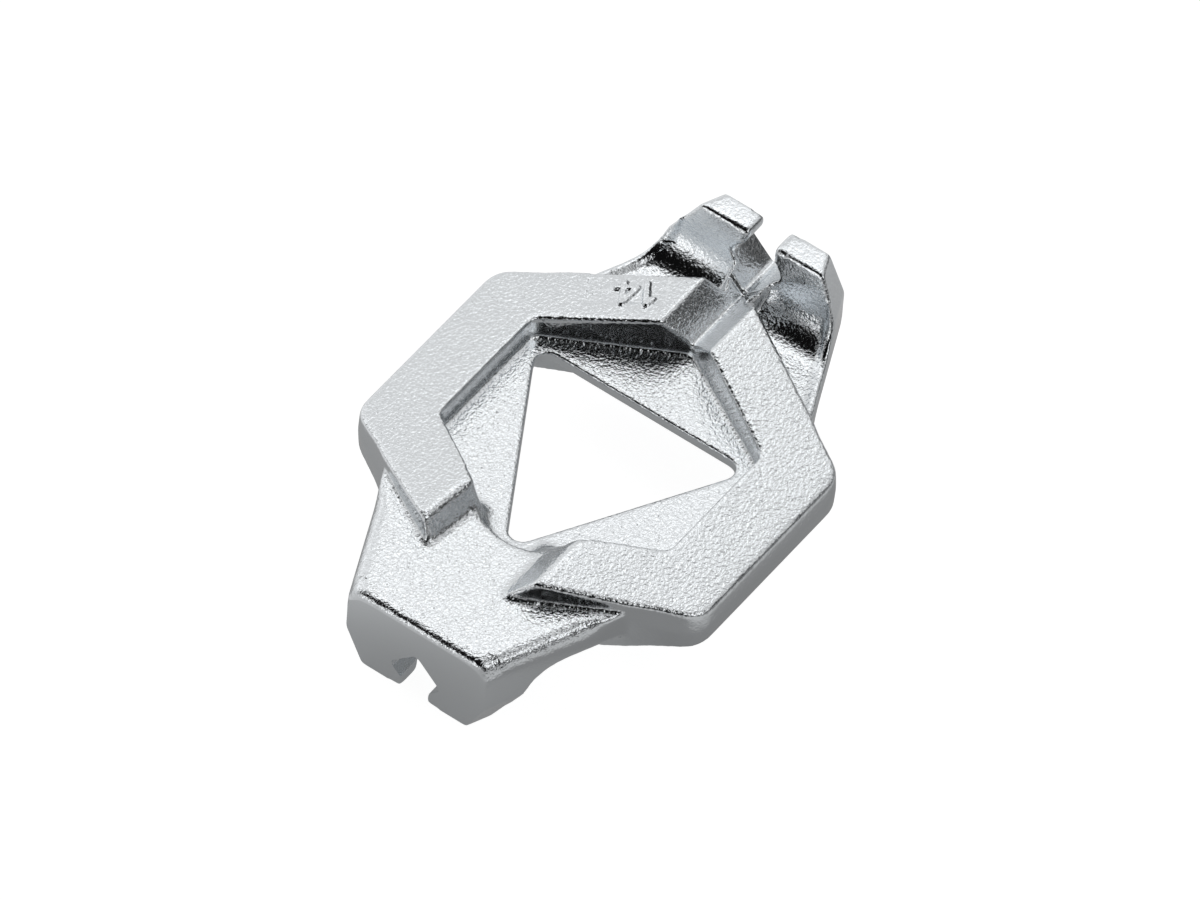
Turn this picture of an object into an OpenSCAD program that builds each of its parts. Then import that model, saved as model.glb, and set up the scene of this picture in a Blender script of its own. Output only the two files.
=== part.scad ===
// Double ended spoke wrench: one plated casting, with a hexagonal grip ring,
// a jaw at each end and a thin web with a triangular window.
// Frame: X along the wrench, Y across it, Z up. The origin is the centre of the ring.
// The underside is the top turned half a turn about Y.

/* [Overall] */
// length over the two jaw faces
overall_length = 43.15; // [38:0.1:52]
// thickness over the two pairs of claws
overall_height = 12.15; // [10:0.1:15]

/* [Ring] */
// ring size across its two long flats
ring_flats = 31.2; // [27:0.1:36]
// ring size from corner to corner along the wrench
ring_corners = 34.45; // [30:0.1:38]
// length of each long flat
ring_flat_length = 17.05; // [14:0.1:20]
// radius of the upright ring corners
ring_corner_radius = 2.6; // [0.5:0.1:3]
// radius of the ring corner behind each jaw
ring_nose_radius = 0.6; // [0.3:0.1:2]
// height of the outer wall along the long flats
ring_edge_height = 3.4; // [2.6:0.1:5]
// rise of each face from the long flats to the middle
ring_rise = 2.45; // [1.2:0.05:3.2]

/* [Pocket] */
// pocket size between its long walls
pocket_width = 20.45; // [17:0.1:23]
// distance from the centre to the closed pocket corner
pocket_reach = 11.65; // [9.5:0.05:13]
// place of the pocket corners at the closed end
pocket_corner = 5.9; // [4.5:0.1:7.5]
// place of the pocket corners at the open end
arm_corner = 5.3; // [4:0.1:6.5]
// distance from the centre to the inner ends of the arms
arm_tip = 9.3; // [8:0.1:10.5]
// distance from the middle line to the pocket corners at the arm tips
arm_tip_corner = 4.2; // [3.4:0.05:5]
// radius of the pocket corners
pocket_radius = 1.0; // [0.3:0.1:2]
// thickness of the web
web_thickness = 1.05; // [0.8:0.1:2]

/* [Window] */
// distance from the centre to the window corners before rounding
window_size = 11.0; // [8:0.1:11.4]
// radius of the window corners
window_radius = 1.0; // [0.4:0.1:2]

/* [Shelf] */
// height of the flat shelf above the middle plane
shelf_height = 1.5; // [1:0.02:1.8]
// radius of the curved step from the shelf to the web
step_radius = 4.4; // [3.8:0.1:5]
// distance from the centre to the middle of the step
step_reach = 11.1; // [10.6:0.05:11.8]
// distance from the middle to the foot of the first arm's end face
arm_foot_a = 3.5; // [2.8:0.05:4]
// slope of the first arm's end face
arm_slope_a = 28; // [10:1:55]
// distance from the middle to the foot of the second arm's end face
arm_foot_b = 2.9; // [2.6:0.05:4]
// slope of the second arm's end face
arm_slope_b = 47; // [10:1:55]
// turn of the first arm's end face, seen from above
arm_turn_a = 8; // [0:1:15]

/* [Jaw] */
// width of the jaw end at the shelf
jaw_width = 12.4; // [11:0.1:15]
// width of the jaw end at the claws
claw_width = 9.3; // [8:0.1:10.8]
// height of the chamfer below the claws
claw_chamfer = 3.1; // [2:0.1:3.6]
// angle at which the jaw sides spread
jaw_spread = 24; // [15:0.5:28]
// angle at which the claw chamfers spread
claw_spread = 24; // [15:0.5:28]
// length of the claw pads
pad_length = 2.35; // [1.6:0.05:2.8]
// lean of the scoop wall below the claws
scoop_lean = 15; // [5:1:35]
// radius of the scoop behind the claws
scoop_radius = 3.1; // [2:0.05:4]
// height of the scoop floor above the middle plane
scoop_floor = 1.15; // [0.7:0.05:1.6]
// width of the raised lip beside the scoop
lip_width = 0.7; // [0.4:0.05:1.2]
// height of the raised lip
lip_height = 0.3; // [0.1:0.05:0.5]

/* [Nipple seats] */
// flats of the nipple taken by the first jaw
nipple_flats_a = 3.3; // [3.1:0.05:3.6]
// flats of the nipple taken by the second jaw
nipple_flats_b = 3.25; // [3.1:0.05:3.6]
// play between a nipple and its seat
nipple_play = 0.05; // [0.02:0.01:0.2]
// height of the nipple axis above the middle plane
seat_height = 3.95; // [3.8:0.05:4.6]
// radius of the corners of the seat
seat_corner = 0.5; // [0.2:0.05:0.8]
// length of the seat, from the jaw end to its inner end
seat_length = 3.675; // [3:0.025:4.2]
// length of the relief at the inner end of the seat
relief_length = 0.3; // [0.15:0.05:0.6]
// depth of the relief below the flats of the seat
relief_depth = 0.2; // [0.1:0.05:0.35]
// radius of the boss that carries the groove up to the seat
boss_radius = 1.65; // [1.2:0.05:2.2]
// slope of the boss
boss_slope = 48; // [35:1:60]
// height of the middle of the boss at the inner end of the seat
boss_height = 1.6; // [1.2:0.05:2.2]
// width of the slot that the spoke passes
spoke_slot = 2.2; // [1.9:0.05:2.6]

/* [Output] */
// piece to show: all, or the name of one piece

/* [Hidden] */
$fn = 96;
eps = 0.01;
end_x = overall_length / 2;
top_z = overall_height / 2;
flat_y = ring_flats / 2;
ring_x = ring_corners / 2;
ring_side_x = ring_flat_length / 2;
edge_z = ring_edge_height / 2;
ridge_z = edge_z + ring_rise;
web_z = web_thickness / 2;
pad_x = end_x - pad_length;
seat_start = end_x - seat_length;
scoop_z = scoop_floor + scoop_radius;
scoop_run = (top_z + scoop_radius * sin(scoop_lean) - scoop_z) / cos(scoop_lean);
scoop_x = pad_x - scoop_run * sin(scoop_lean) - scoop_radius * cos(scoop_lean);
step_x = step_reach - step_radius;
arm_middle = (arm_tip + ring_x * 0.82) / 2;
spread = tan(jaw_spread);
jaw_root_x = end_x - (flat_y * 0.72 - jaw_width / 2) / spread;
lip_shift = lip_width / cos(jaw_spread);
claw_side = (jaw_width - claw_width) / 2;
claw_tilt = atan(claw_side * cos(claw_spread) / claw_chamfer);

function unit(v) = v / norm(v);
function half_angle(p, a, b) = acos(unit(a - p) * unit(b - p)) / 2;
function arc_centre(p, a, b, r) = p + unit(unit(a - p) + unit(b - p)) * r / sin(half_angle(p, a, b));
function arc_ends(p, a, b, r) = [
    p + unit(a - p) * r / tan(half_angle(p, a, b)),
    p + unit(b - p) * r / tan(half_angle(p, a, b))
];

// outline with straight sides and a true arc at each corner, with one radius for each point
module rounded_outline(points, r) {
    n = len(points);
    polygon([
        for (i = [0 : n - 1]) each arc_ends(points[i], points[(i + n - 1) % n], points[(i + 1) % n], r[i])
    ]);
    for (i = [0 : n - 1]) {
        translate(arc_centre(points[i], points[(i + n - 1) % n], points[(i + 1) % n], r[i])) circle(r[i]);
    }
}

// long prism along X from an outline drawn in Y and Z
module along_x(x0, x1) {
    translate([x0, 0, 0]) rotate([90, 0, 90]) linear_extrude(x1 - x0) children();
}

// long prism along Y from an outline drawn in X and Z
module along_y(y0, y1) {
    translate([0, y1, 0]) rotate([90, 0, 0]) linear_extrude(y1 - y0) children();
}

// half of the ring, with its face rising to a ridge along X
module ring_blank() {
    intersection() {
        translate([0, 0, -eps]) linear_extrude(ridge_z + 1) rounded_outline([
            [ring_x, 0],
            [ring_side_x, flat_y],
            [-ring_side_x, flat_y],
            [-ring_x, 0],
            [-ring_side_x, -flat_y],
            [ring_side_x, -flat_y]
        ], [
            ring_nose_radius,
            ring_corner_radius,
            ring_corner_radius,
            ring_nose_radius,
            ring_corner_radius,
            ring_corner_radius
        ]);
        along_x(-ring_x - 1, ring_x + 1) polygon([
            [-flat_y - 1, -1],
            [flat_y + 1, -1],
            [flat_y + 1, edge_z - ring_rise / flat_y],
            [0, ridge_z],
            [-flat_y - 1, edge_z - ring_rise / flat_y]
        ]);
    }
}

// outline of one spreading jaw, pulled in by a margin at both sides
module jaw_outline(margin) {
    polygon([
        [end_x, jaw_width / 2 - margin],
        [jaw_root_x, flat_y * 0.72 - margin],
        [0, flat_y * 0.72 - margin],
        [0, -flat_y * 0.72 + margin],
        [jaw_root_x, -flat_y * 0.72 + margin],
        [end_x, -jaw_width / 2 + margin]
    ]);
}

// sloping cut that chamfers one side of the claws
module claw_cut() {
    translate([end_x, claw_width / 2, top_z]) rotate([0, 0, -claw_spread]) rotate([claw_tilt, 0, 0])
        translate([-20, 0, -8]) cube([40, 8, 16]);
}

// profile in X and Z of the scoop behind the claws
module scoop_profile(depth) {
    translate([scoop_x, scoop_z]) {
        circle(scoop_radius + depth);
        rotate(-scoop_lean) translate([-40, 0]) square([40 + scoop_radius + depth, 20]);
        translate([-40, -scoop_radius - depth]) square([40, 40]);
    }
}

// upper half of the jaw with claws, before its seat is cut
module claw_jaw() {
    difference() {
        translate([0, 0, -eps]) linear_extrude(top_z + eps) jaw_outline(0);
        claw_cut();
        mirror([0, 1, 0]) claw_cut();
        along_y(-flat_y, flat_y) scoop_profile(0);
        intersection() {
            along_y(-flat_y, flat_y) scoop_profile(lip_height);
            linear_extrude(top_z * 2) jaw_outline(lip_shift);
        }
    }
}

// pocket over the web, which runs out between the arms to the curved step of the shelf
module pocket() {
    translate([0, 0, web_z]) linear_extrude(top_z) pocket_outline();
    difference() {
        translate([-step_x, 0, web_z]) cylinder(h = shelf_height, r = step_radius);
        arm_end(arm_foot_a, arm_slope_a, arm_turn_a);
        mirror([0, 1, 0]) arm_end(arm_foot_b, arm_slope_b, 0);
    }
}

module pocket_outline() {
    rounded_outline([
        [pocket_reach, 0],
        [pocket_corner, pocket_width / 2],
        [-arm_corner, pocket_width / 2],
        [-arm_tip, arm_tip_corner],
        [-arm_tip, -arm_tip_corner],
        [-arm_corner, -pocket_width / 2],
        [pocket_corner, -pocket_width / 2]
    ], [for (i = [0 : 6]) pocket_radius]);
}

// gap between the arm ends, down to the shelf, with one sloping and turned end face at each side
module arm_gap() {
    difference() {
        translate([-ring_x - 1, -flat_y, shelf_height]) cube([ring_x + 1 - arm_corner, flat_y * 2, top_z]);
        arm_end(arm_foot_a, arm_slope_a, arm_turn_a);
        mirror([0, 1, 0]) arm_end(arm_foot_b, arm_slope_b, 0);
    }
}

// everything on the far side of one arm's end face
module arm_end(foot, slope, turn) {
    translate([-arm_middle, foot, shelf_height]) rotate([0, 0, -turn]) rotate([-slope, 0, 0])
        translate([-40, 0, -40]) cube([80, 40, 80]);
}

// square seat on its corner with the spoke slot above it, a relief at its inner end and the groove to it
module seat(flats) {
    side = flats + nipple_play;
    half = side / sqrt(2);
    along_x(seat_start, end_x + 1) union() {
        translate([0, seat_height]) rounded_outline([
            [half, 0],
            [0, half],
            [-half, 0],
            [0, -half]
        ], [for (i = [0 : 3]) seat_corner]);
        translate([-spoke_slot / 2, seat_height]) square([spoke_slot, top_z]);
    }
    along_x(seat_start - relief_length, seat_start + eps) union() {
        translate([0, seat_height]) rotate(45) square(side + relief_depth * 2, center = true);
        translate([-spoke_slot / 2, seat_height]) square([spoke_slot, top_z]);
    }
    along_x(0, seat_start) translate([0, seat_height]) rotate(45) square(side, center = true);
}

// round boss that carries the groove from the ring up to the seat
module boss() {
    intersection() {
        translate([seat_start, 0, boss_height]) rotate([0, 90 - boss_slope, 0])
            cylinder(h = 8, r = boss_radius, center = true);
        translate([0, -flat_y, -eps]) cube([pad_x, flat_y * 2, seat_height]);
    }
}

// everything above the middle plane, before the seat
module upper_half() {
    difference() {
        union() {
            difference() {
                ring_blank();
                arm_gap();
            }
            claw_jaw();
            boss();
            mirror([1, 0, 0]) translate([0, 0, -eps]) linear_extrude(shelf_height + eps) jaw_outline(0);
        }
        pocket();
    }
}

// the whole casting
module wrench_casting() {
    color("silver") difference() {
        union() {
            upper_half();
            rotate([0, 180, 0]) upper_half();
        }
        seat(nipple_flats_a);
        rotate([0, 180, 0]) seat(nipple_flats_b);
        translate([0, 0, -web_thickness]) linear_extrude(web_thickness * 2) rounded_outline([
            [-window_size, 0],
            [window_size / 2, window_size * sin(60)],
            [window_size / 2, -window_size * sin(60)]
        ], [for (i = [0 : 2]) window_radius]);
    }
}

wrench_casting();
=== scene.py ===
import bmesh
import bpy
import math
from mathutils import Matrix, Vector


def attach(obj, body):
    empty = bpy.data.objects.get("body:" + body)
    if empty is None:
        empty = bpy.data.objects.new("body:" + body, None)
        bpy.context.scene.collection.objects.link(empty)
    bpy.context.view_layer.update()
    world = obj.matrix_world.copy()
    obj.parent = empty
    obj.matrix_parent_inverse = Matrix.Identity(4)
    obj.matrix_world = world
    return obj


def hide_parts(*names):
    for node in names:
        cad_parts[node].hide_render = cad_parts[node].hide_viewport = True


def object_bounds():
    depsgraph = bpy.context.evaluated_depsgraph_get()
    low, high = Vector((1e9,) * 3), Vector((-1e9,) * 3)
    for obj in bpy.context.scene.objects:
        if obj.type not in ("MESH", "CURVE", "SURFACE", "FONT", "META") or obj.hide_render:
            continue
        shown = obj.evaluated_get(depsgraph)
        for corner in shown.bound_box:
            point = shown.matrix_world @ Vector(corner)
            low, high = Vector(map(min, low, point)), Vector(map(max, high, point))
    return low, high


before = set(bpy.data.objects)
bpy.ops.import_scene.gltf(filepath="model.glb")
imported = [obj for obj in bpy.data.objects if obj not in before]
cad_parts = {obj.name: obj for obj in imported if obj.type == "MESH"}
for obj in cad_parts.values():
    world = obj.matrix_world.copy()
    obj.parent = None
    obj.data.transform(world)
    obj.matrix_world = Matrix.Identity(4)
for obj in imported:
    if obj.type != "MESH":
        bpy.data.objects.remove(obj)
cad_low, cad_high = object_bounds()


# The casting: one piece of zinc alloy, cast with its ring, web and both jaws in a two part
# mould, so every edge of it is softly rounded. The copy of the CAD solid is rebuilt as an
# even skin and eased, which gives the small radii that a mould leaves.
def clamped(share):
    return min(1, max(0, share))


def eased(share):
    return share * share * (3 - 2 * share)


# a mesh of the piece with its modifiers applied
def worked_mesh(piece):
    bpy.context.view_layer.update()
    return bpy.data.meshes.new_from_object(piece.evaluated_get(bpy.context.evaluated_depsgraph_get()))


end_x = cad_high.x - 0.000001
bm = bmesh.new()
bm.from_mesh(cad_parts["wrench_casting"].data)
bmesh.ops.remove_doubles(bm, verts=bm.verts, dist=1e-6)

# The jaws come out of the mould a little too long on their seat side, where they also draw
# in a little. The stock is ground off further down.
stock = 0.0002
draw_in = 0.014
stock_start = 0.017
seat_side_rise = 0.0015
for vert in bm.verts:
    reach = max(0, (abs(vert.co.x) - stock_start) / (end_x - stock_start))
    seat_side = clamped(math.copysign(1, vert.co.x) * vert.co.z / seat_side_rise)
    vert.co.x += math.copysign(stock * seat_side * reach ** 2, vert.co.x)
    vert.co.y *= 1 - draw_in * seat_side * reach ** 2
bmesh.ops.recalc_face_normals(bm, faces=bm.faces)
solid_mesh = bpy.data.meshes.new("cast_solid")
bm.to_mesh(solid_mesh)
bm.free()
solid = bpy.data.objects.new("cast_solid", solid_mesh)
bpy.context.scene.collection.objects.link(solid)
skin = solid.modifiers.new("skin", "REMESH")
skin.mode = "VOXEL"
skin.voxel_size = 0.000105
fine_mesh = worked_mesh(solid)
bm = bmesh.new()
bm.from_mesh(fine_mesh)

# Places on the casting, in millimetres: along from the middle towards either jaw, out from
# the long middle line, and up from the middle plane on the side of the shelf. The seats and
# claws are on the other side, where up is negative.
jaw_end = round(cad_high.x * 1000, 3)
jaw_half_width = 6.2
jaw_spread = math.tan(math.radians(24))
ring_start = 10.9

# A broad round shoulder runs along both sides of the shelf. Its inset is in metres.
shelf_top = 2
shoulder_start = 12.6
shoulder_reach = 2.6
shoulder_height = 1.5
shoulder_fade = 1.5
shoulder_inset = 0.00085


def shoulder(along, out, up, jaw_side):
    if out >= ring_start or up >= shelf_top:
        return 0
    climb = clamped(up / shoulder_height)
    share = (clamped((along - shoulder_start) / shoulder_fade)
             * clamped((out - jaw_side + shoulder_reach) / shoulder_fade)
             * (1 - math.sqrt(1 - climb * climb)))
    return shoulder_inset * share


# The outer walls of the ring have some draft away from the middle plane, also in metres. The
# slanting walls run from the nose behind each jaw to the long flats, and slant says how far a
# place belongs to one of them.
ring_flat = round(cad_high.y * 1000, 3)
ring_nose = 17.225
slant_run = 8.7
slant_length = 17.86
wall_draft = 0.00014
wall_height = 1.7
wall_depth = 1.2
wall_fade = 1.5
slant_faces_along = 0.873
slant_faces_out = 0.487


def draft(along, out, up):
    from_flat = ring_flat - out
    from_slant = ((ring_nose - along) * ring_flat - slant_run * out) / slant_length
    share = (wall_draft * min(1, abs(up) / wall_height)
             * clamped(1 - min(from_flat, from_slant) / wall_depth)
             * clamped((out - ring_start) / wall_fade))
    slant = clamped(0.5 + (from_flat - from_slant) / 2)
    return slant_faces_along * slant * share, (1 - (1 - slant_faces_out) * slant) * share


spots = []
for vert in bm.verts:
    along, out = abs(vert.co.x) * 1000, abs(vert.co.y) * 1000
    up = -math.copysign(1, vert.co.x) * vert.co.z * 1000
    jaw_side = jaw_half_width + (jaw_end - along) * jaw_spread
    vert.co.y -= math.copysign(shoulder(along, out, up, jaw_side), vert.co.y)
    draft_along, draft_out = draft(along, out, up)
    vert.co.x -= math.copysign(draft_along, vert.co.x)
    vert.co.y -= math.copysign(draft_out, vert.co.y)
    spots.append((vert, along, out, up, jaw_side))


def ease(verts, passes, factor):
    for i in range(passes):
        bmesh.ops.smooth_vert(bm, verts=verts, factor=factor,
                              use_axis_x=True, use_axis_y=True, use_axis_z=True)


# The whole skin is eased a little, and then all of it but the seats, which are cut afterwards
# and stay sharper. The factor is how far each pass moves a corner to the middle of the
# corners next to it.
strong, mild = 0.85, 0.5
seat_start = 16.8
seat_half_width = 2.3
seat_top = -1.5
narrows_from = -5.2
narrowing = 0.5
ease(bm.verts, 2, strong)
ease([vert for vert, along, out, up, jaw_side in spots
      if not (along > seat_start and up < seat_top
              and out < seat_half_width - narrowing * max(0, narrows_from - up))], 17, mild)

# Some places are rounder. Each row has the number of passes, the reach along, out and up,
# and how far the place comes in from the side line of the jaw.
far = 99
any_way = (-far, far)
for passes, along_reach, out_reach, up_reach, side_reach in (
    # the sides of each jaw, and the broad part of its shoulders
    (8, (12.2, far), (-far, ring_start), (-0.4, far), 1.4),
    (6, (13.2, far), (-far, ring_start), (-0.4, far), 1.2),
    # the end of the shelf
    (50, (20.2, far), any_way, (0.2, far), far),
    # the ends of the arms
    (20, (8.3, 17), (1.6, 5.5), (1.3, far), far),
    # the corners of the claws at the slot
    (30, any_way, (-far, 2.3), (-far, -5.0), far),
    # the edges beside the scoops
    (8, (12, 18.6), any_way, (-far, -0.8), 1.6),
):
    ease([vert for vert, along, out, up, jaw_side in spots
          if along_reach[0] < along < along_reach[1] and out_reach[0] < out < out_reach[1]
          and up_reach[0] < up < up_reach[1] and out > jaw_side - side_reach], passes, strong)

# Round places: passes, the middle along and out, the radius, how far to either side of it,
# and the reach up. They are the roots of the arms and the curved step from shelf to web.
step_start = 6
for passes, middle_along, middle_out, radius, half_width, up_reach in (
    (36, 9.6, 3.0, 0, 1.3, (0.3, 3.2)),
    (14, 6.7, 0, 4.4, 0.8, (0.3, 1.8)),
):
    ease([vert for vert, along, out, up, jaw_side in spots
          if up_reach[0] < up < up_reach[1] and along > step_start
          and abs(math.hypot(along - middle_along, out - middle_out) - radius) < half_width],
         passes, strong)

# A size number stands up from a shallow panel on one arm: a 1 and a 4, in strokes that run
# from point to point in millimetres. The panel runs out over the outer edge of the arm.
strokes = (
    ((13.10, 5.30), (11.30, 4.15)),
    ((11.30, 4.15), (12.00, 4.05)),
    ((12.34, 6.77), (10.45, 5.72)),
    ((11.62, 6.95), (12.36, 5.66)),
    ((12.36, 5.66), (10.45, 5.72)),
)
stroke_half_width = 0.33
stroke_side = 0.18
stroke_height = 0.00021
panel_middle = Vector((11.6, 6.05))
panel_along = Vector((-0.496, 0.868))
panel_across = Vector((0.868, 0.496))
panel_half_length = 3.0
panel_inner_edge = 1.2
panel_side = 0.2
panel_depth = 0.00007
arm_from_x, arm_from_y, arm_from_z = 0.0085, 0.002, 0.0022
for vert in bm.verts:
    if vert.co.x < arm_from_x or vert.co.y < arm_from_y or vert.co.z < arm_from_z:
        continue
    spot = Vector((vert.co.x, vert.co.y)) * 1000
    apart = far
    for start, end in strokes:
        start, end = Vector(start), Vector(end)
        share = clamped((spot - start).dot(end - start) / (end - start).length_squared)
        apart = min(apart, (spot - start.lerp(end, share)).length)
    from_rim = min(panel_half_length - abs((spot - panel_middle).dot(panel_along)),
                   panel_inner_edge + (spot - panel_middle).dot(panel_across))
    vert.co.z += (stroke_height * eased(clamped((stroke_half_width - apart) / stroke_side))
                  - panel_depth * eased(clamped(from_rim / panel_side)))

# The skin stays just inside the height of the solid, and is thinned where it is flat.
hair = 0.000002
triangle_goal = 186000
for vert in bm.verts:
    vert.co.z = min(cad_high.z - hair, max(cad_low.z + hair, vert.co.z))
bm.to_mesh(fine_mesh)
bm.free()
solid.modifiers.clear()
solid.data = fine_mesh
thin = solid.modifiers.new("thin", "DECIMATE")
thin.ratio = triangle_goal / (2 * len(fine_mesh.polygons))
cast_mesh = worked_mesh(solid)
bpy.data.objects.remove(solid)

# Both ends are ground flat, each to one face with a sharp rim.
bm = bmesh.new()
bm.from_mesh(cast_mesh)
for side in (1, -1):
    bmesh.ops.bisect_plane(bm, geom=bm.verts[:] + bm.edges[:] + bm.faces[:], dist=1e-7,
                           plane_co=(side * end_x, 0, 0), plane_no=(side, 0, 0), clear_outer=True)
for face in bm.faces:
    face.smooth = True
for side in (1, -1):
    rim = [edge for edge in bm.edges if edge.is_boundary and edge.verts[0].co.x * side > 0]
    bmesh.ops.holes_fill(bm, edges=rim, sides=0)
    for edge in rim:
        edge.smooth = False
bmesh.ops.recalc_face_normals(bm, faces=bm.faces)
print("open edges", sum(1 for edge in bm.edges if not edge.is_manifold))
bm.to_mesh(cast_mesh)
bm.free()
casting = bpy.data.objects.new("casting", cast_mesh)
bpy.context.scene.collection.objects.link(casting)
print("casting triangles", sum(len(polygon.vertices) - 2 for polygon in cast_mesh.polygons))


# The finish of the casting: bright plating over the cast skin, laid on in a bath. The skin
# keeps the orange peel and grain of the mould, and the plating adds tiny pips.
def put(tree, value, socket):
    if isinstance(value, bpy.types.NodeSocket):
        tree.links.new(value, socket)
    else:
        socket.default_value = value


def maths(tree, operation, *values):
    node = tree.nodes.new("ShaderNodeMath")
    node.operation = operation
    for value, socket in zip(values, node.inputs):
        put(tree, value, socket)
    return node.outputs[0]


# from low to high, as the value goes from start to end
def ramp(tree, value, start, end, low=0, high=1, curve="LINEAR"):
    node = tree.nodes.new("ShaderNodeMapRange")
    node.interpolation_type = curve
    node.inputs["From Min"].default_value = start
    node.inputs["From Max"].default_value = end
    node.inputs["To Min"].default_value = low
    node.inputs["To Max"].default_value = high
    put(tree, value, node.inputs["Value"])
    return node.outputs["Result"]


def parts(tree, vector):
    node = tree.nodes.new("ShaderNodeSeparateXYZ")
    put(tree, vector, node.inputs[0])
    return node.outputs


plating = bpy.data.materials.new("plated_casting")
plating.use_nodes = True
tree = plating.node_tree
plate = tree.nodes["Principled BSDF"]
plate.inputs["Base Color"].default_value = (0.765, 0.79, 0.81, 1)
plate.inputs["Metallic"].default_value = 1
plate.inputs["Roughness"].default_value = 0.1
place = tree.nodes.new("ShaderNodeTexCoord").outputs["Object"]
spot = parts(tree, place)
along = maths(tree, "ABSOLUTE", spot["X"])

# The ground ends have no cast skin. It is calmer in the scoops behind the claws, which lie
# above the middle plane at one end and below it at the other, so along times up picks them.
ground_from, skin_from = end_x - 0.00001, end_x - 0.00003
scoop_from, scoop_middle = 0.0145, 0.0165
scoop_corner = 0.000008
scoop_calm = 0.35
cast_skin = ramp(tree, along, ground_from, skin_from)
claw_side = maths(tree, "GREATER_THAN", maths(tree, "MULTIPLY", spot["X"], spot["Z"]), scoop_corner)
in_scoop = ramp(tree, along, scoop_from, scoop_middle, 0, scoop_calm)
lively = maths(tree, "SUBTRACT", cast_skin, maths(tree, "MULTIPLY", claw_side, in_scoop))
lively.node.use_clamp = True

# It is calmer on upright walls than on faces that look up or down, and the ground ends keep
# a trace of its grain.
upright, sloping = 0.1, 0.4
wall_skin = 0.35
grain_left = 0.3
facing = parts(tree, tree.nodes.new("ShaderNodeNewGeometry").outputs["Normal"])
wall_calm = ramp(tree, maths(tree, "ABSOLUTE", facing["Z"]), upright, sloping, wall_skin, 1)
skin_strength = maths(tree, "MULTIPLY", lively, wall_calm)
grain_strength = maths(tree, "MAXIMUM", skin_strength, grain_left)

# The peel is a quarter of a millimetre wide, the grain half of that, and the round pips stand
# half a millimetre apart.
peels_per_metre, grains_per_metre, pips_per_metre = 3900, 8000, 1900
peel_height, grain_height, pip_height = 0.000068, 0.000016, 0.00002
pip_foot, pip_top = 0.15, 0.04
peel = tree.nodes.new("ShaderNodeTexNoise")
peel.inputs["Scale"].default_value = peels_per_metre
grain = tree.nodes.new("ShaderNodeTexNoise")
grain.inputs["Scale"].default_value = grains_per_metre
pips = tree.nodes.new("ShaderNodeTexVoronoi")
pips.inputs["Scale"].default_value = pips_per_metre
pip = ramp(tree, pips.outputs["Distance"], pip_foot, pip_top, curve="SMOOTHSTEP")
for pattern in (peel, grain, pips):
    tree.links.new(place, pattern.inputs["Vector"])
normal = None
for height, strength, depth in (
    (peel.outputs["Fac"], skin_strength, peel_height),
    (grain.outputs["Fac"], grain_strength, grain_height),
    (pip, skin_strength, pip_height),
):
    bump = tree.nodes.new("ShaderNodeBump")
    bump.inputs["Distance"].default_value = depth
    tree.links.new(strength, bump.inputs["Strength"])
    tree.links.new(height, bump.inputs["Height"])
    if normal is not None:
        tree.links.new(normal, bump.inputs["Normal"])
    normal = bump.outputs["Normal"]
tree.links.new(normal, plate.inputs["Normal"])
cast_mesh.materials.clear()
cast_mesh.materials.append(plating)
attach(casting, "root")
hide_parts("wrench_casting")


# The floor: a plain pale sheet of paper under the wrench, white to the camera, which keeps a
# soft shadow. In the metal it shows a painted shadow close by, painted light far off on the
# lit side and painted shade on the other, and a painted pale strip of light along the front.
floor_drop = 0.00002
floor_half_size = 6
bm = bmesh.new()
bmesh.ops.create_grid(bm, x_segments=1, y_segments=1, size=floor_half_size,
                      matrix=Matrix.Translation((0, 0, cad_low.z - floor_drop)))
floor_mesh = bpy.data.meshes.new("floor")
bm.to_mesh(floor_mesh)
bm.free()
floor = bpy.data.objects.new("floor", floor_mesh)
bpy.context.scene.collection.objects.link(floor)


def towards(tree, way, aim):
    node = tree.nodes.new("ShaderNodeVectorMath")
    node.operation = "DOT_PRODUCT"
    node.inputs[1].default_value = aim
    tree.links.new(way, node.inputs[0])
    return node.outputs["Value"]


# the first tone where the share is 0 and the second where it is 1, with a number as a grey
def blend(tree, share, first, second):
    node = tree.nodes.new("ShaderNodeMix")
    node.data_type = "RGBA"
    tree.links.new(share, node.inputs[0])
    for tone, socket in ((first, node.inputs[6]), (second, node.inputs[7])):
        put(tree, tone if isinstance(tone, bpy.types.NodeSocket) else (tone, tone, tone, 1), socket)
    return node.outputs[2]


pale = bpy.data.materials.new("pale_floor")
pale.use_nodes = True
tree = pale.node_tree
tree.nodes.clear()
place = tree.nodes.new("ShaderNodeTexCoord").outputs["Object"]
spot = parts(tree, place)
distance = tree.nodes.new("ShaderNodeVectorMath")
distance.operation = "LENGTH"
tree.links.new(place, distance.inputs[0])
outward = tree.nodes.new("ShaderNodeVectorMath")
outward.operation = "NORMALIZE"
tree.links.new(place, outward.inputs[0])
# Painted shadow close to the wrench, darker in front of it, and farther off painted light on the lit side
# fading to painted shade on the camera's side, seen only in the metal.
painted_shadow_under, painted_shadow_front = 0.228, 0.165
under_to, front_from = -0.0115, -0.0145
painted_shade_far, painted_light_far = 0.03, 0.73
lit_way = (0.12, 0.99, 0)
near_to, far_from = 0.024, 0.032
painted_shadow = ramp(tree, spot["Y"], under_to, front_from, painted_shadow_under, painted_shadow_front)
far_light_and_shade = ramp(tree, towards(tree, outward.outputs["Vector"], lit_way), -1, 1, painted_shade_far, painted_light_far)
far_off = ramp(tree, distance.outputs["Value"], near_to, far_from, curve="SMOOTHSTEP")
painted_ground_light_and_shade = blend(tree, far_off, painted_shadow, far_light_and_shade)
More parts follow.
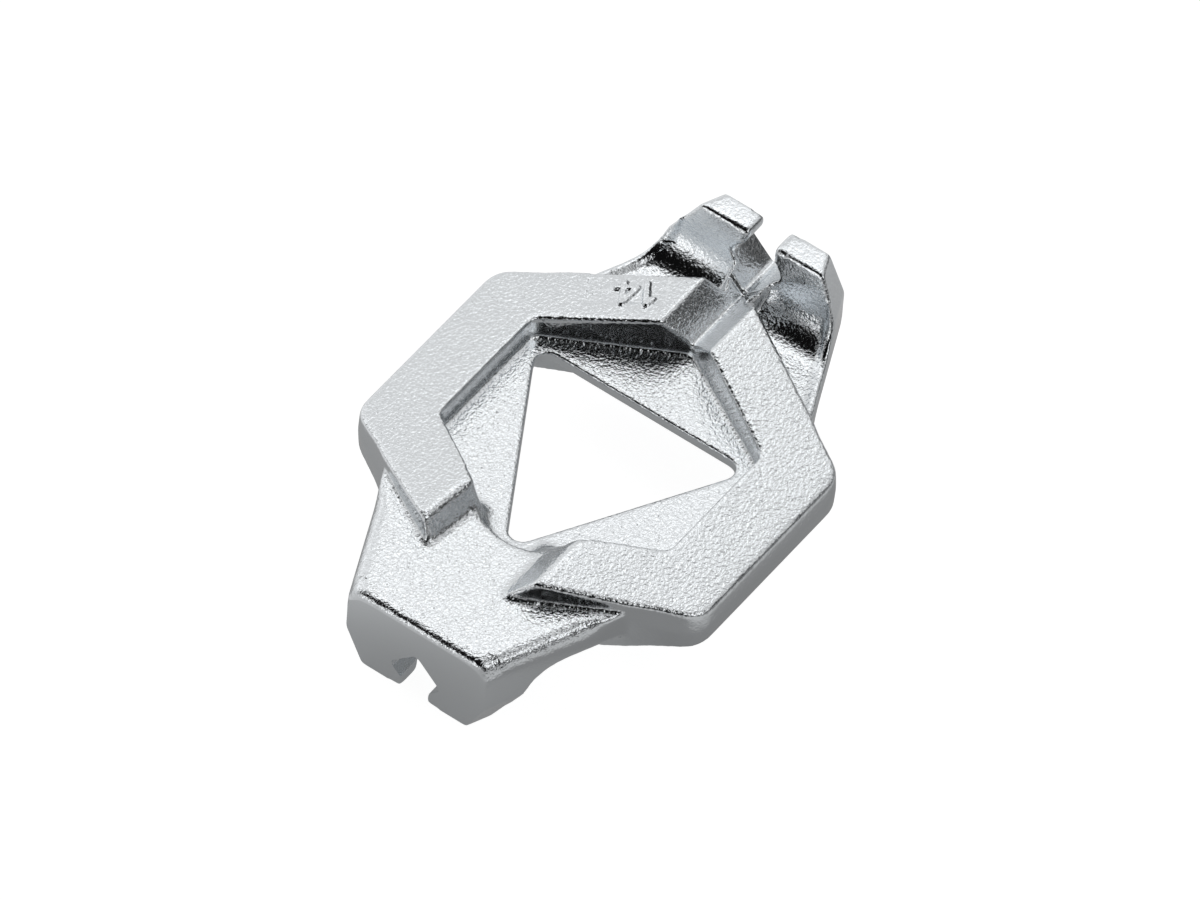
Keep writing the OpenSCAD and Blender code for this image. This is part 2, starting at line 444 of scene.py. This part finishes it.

# The painted pale strip of light, about as far off as the wrench is wide, widens to the horizon in
# front of the lower jaw.
painted_strip_light = 0.44
strip_distance = 0.0290
strip_edge, strip_full = 0.009, 0.005
front_edge, front_full = -0.0195, -0.0235
jaw_edge, jaw_full = -0.006, -0.012
strip_off = maths(tree, "ABSOLUTE", maths(tree, "ADD", spot["Y"], strip_distance))
light_strip = ramp(tree, strip_off, strip_edge, strip_full, curve="SMOOTHSTEP")
in_front = ramp(tree, spot["Y"], front_edge, front_full, curve="SMOOTHSTEP")
by_the_jaw = ramp(tree, spot["X"], jaw_edge, jaw_full, curve="SMOOTHSTEP")
painted_light_share = maths(tree, "MAXIMUM", light_strip, maths(tree, "MULTIPLY", in_front, by_the_jaw))
painted_floor_light = blend(tree, painted_light_share, painted_ground_light_and_shade, painted_strip_light)

# The metal mirrors this painted light and shade, the camera sees white, and all other light is even.
white, even, paper_grey = 0.94, 0.4, 0.25
seen = tree.nodes.new("ShaderNodeLightPath")
mirrored_painted_light = blend(tree, seen.outputs["Is Glossy Ray"], even, painted_floor_light)
glow = tree.nodes.new("ShaderNodeEmission")
tree.links.new(blend(tree, seen.outputs["Is Camera Ray"], mirrored_painted_light, white), glow.inputs["Color"])
paper = tree.nodes.new("ShaderNodeBsdfDiffuse")
paper.inputs["Color"].default_value = (paper_grey, paper_grey, paper_grey, 1)
both = tree.nodes.new("ShaderNodeAddShader")
tree.links.new(paper.outputs[0], both.inputs[0])
tree.links.new(glow.outputs[0], both.inputs[1])
sheet = tree.nodes.new("ShaderNodeOutputMaterial")
tree.links.new(both.outputs[0], sheet.inputs["Surface"])
floor_mesh.materials.append(pale)


# The studio: two pale walls of light to the right and behind, softboxes above them, to the
# right, in front and low on the left, and a faint glow round the horizon. The side that the
# camera stands on is dark, which gives the plating its black reflections.
room = bpy.data.worlds.new("room")
bpy.context.scene.world = room
room.use_nodes = True
tree = room.node_tree
tree.nodes.clear()
look = tree.nodes.new("ShaderNodeTexCoord").outputs["Generated"]
dark_air, horizon_glow = 0.004, 0.27
glow_top = 0.5
studio_tone = ramp(tree, parts(tree, look)["Z"], glow_top, 0, dark_air, horizon_glow, "SMOOTHSTEP")
# Each round light has a compass direction, a height, half its width and the blur of its edge,
# all in degrees, and a brightness.
soft_lights = (
    ("pale_wall", 51, 34, 37, 6, 0.73),
    ("rear_wall", 104, 17, 29, 6, 0.52),
    ("high_softbox", 45, 64, 10, 14, 0.96),
    ("right_softbox", -17, 51, 19, 27, 0.95),
    ("front_softbox", 265, 51, 18, 7, 1.25),
    ("low_softbox", 163, 15, 12, 14, 1.60),
    ("front_glow", 268, 3, 14, 9, 0.33),
    ("rear_card", 70, 41, 9, 8, 0.35),
)
for name, compass, height, half_width, blur, brightness in soft_lights:
    compass, height = math.radians(compass), math.radians(height)
    aim = (math.cos(height) * math.cos(compass), math.cos(height) * math.sin(compass), math.sin(height))
    angle = maths(tree, "ARCCOSINE", towards(tree, look, aim))
    light = ramp(tree, angle, math.radians(half_width + blur), math.radians(half_width - blur),
                 0, brightness, "SMOOTHSTEP")
    light.node.name = name
    studio_tone = maths(tree, "ADD", studio_tone, light)
seen = tree.nodes.new("ShaderNodeLightPath")
air = tree.nodes.new("ShaderNodeBackground")
tree.links.new(blend(tree, seen.outputs["Is Camera Ray"], studio_tone, 1), air.inputs["Color"])
sky = tree.nodes.new("ShaderNodeOutputWorld")
tree.links.new(air.outputs[0], sky.inputs["Surface"])


# The camera: a long lens from the left, in front and above, rolled a little. It is aimed so
# that the middle of the wrench falls where it does in the photograph.
turn, lift, roll = math.radians(-56.48433), math.radians(50.70043), math.radians(3.83791)
photo_width, photo_height = 1200, 900
middle_across_px, middle_down_px = 596.8364865, 457.7977117
pixels_per_mm = 13.906712
distance_mm = 1129.595179068511
sensor_width = 36
away = Vector((math.sin(turn) * math.cos(lift), -math.cos(turn) * math.cos(lift), math.sin(lift)))
level = Vector((math.cos(turn), math.sin(turn), 0))
upright = away.cross(level)
across = level * math.cos(roll) + upright * math.sin(roll)
above = upright * math.cos(roll) - level * math.sin(roll)
side_mm = (middle_across_px - photo_width / 2) / pixels_per_mm
rise_mm = -(middle_down_px - photo_height / 2) / pixels_per_mm
eye = away * distance_mm - across * side_mm - above * rise_mm
lens = bpy.data.cameras.new("camera")
lens.sensor_width = sensor_width
lens.lens = pixels_per_mm * distance_mm / photo_width * sensor_width
lens.clip_start = 0.01
lens.clip_end = 100
camera = bpy.data.objects.new("camera", lens)
camera.matrix_world = Matrix.Translation(eye / 1000) @ Matrix((across, above, away)).transposed().to_4x4()
bpy.context.scene.collection.objects.link(camera)
bpy.context.scene.camera = camera
bpy.context.scene.view_settings.view_transform = "Standard"
